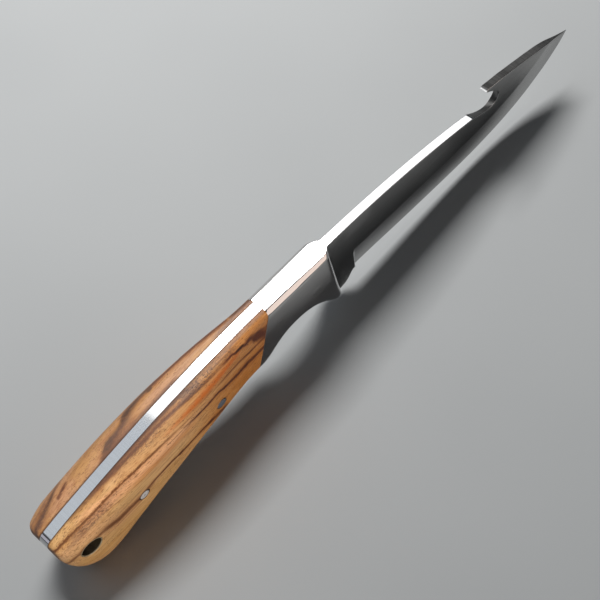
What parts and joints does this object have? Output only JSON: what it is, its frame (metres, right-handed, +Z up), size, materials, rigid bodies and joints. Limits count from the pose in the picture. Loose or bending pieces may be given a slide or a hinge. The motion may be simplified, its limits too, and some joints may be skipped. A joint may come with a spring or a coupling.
{
  "type": "gut hook hunting knife",
  "caption": "Fixed-blade hunting knife with a full tang, a straight-backed blade ending in a gut hook and a sharp point, polished bolsters and rounded wooden handle scales.",
  "frame": {"origin": "middle of the bottom of the whole knife's box; the knife stands with its edge down", "axes": "+X runs along the knife towards the point, +Y is towards its left side, +Z is up towards the back of the blade"},
  "size_m": [0.249, 0.0192, 0.0375],
  "materials": {
    "blade_steel": "satin belt finish along the back and flats, finer on the ground bevels",
    "bolster_steel": "mirror polish on solid stainless steel, with fine wear",
    "handle_wood": "olive-like hardwood, golden tan with dark brown stripes along the grain, oiled and polished",
    "pin_steel": "ground flush with the wood",
    "tube_metal": "pale nickel silver, polished flush with the wood"
  },
  "bodies": {
    "root": {"blade": "blade_steel", "bolster_left": "bolster_steel", "bolster_right": "bolster_steel", "bolster_pin_front": "bolster_steel", "bolster_pin_rear": "bolster_steel", "scale_left": "handle_wood", "scale_right": "handle_wood", "handle_pin_front": "pin_steel", "handle_pin_rear": "pin_steel", "thong_tube": "tube_metal"}
  },
  "joints": []
}
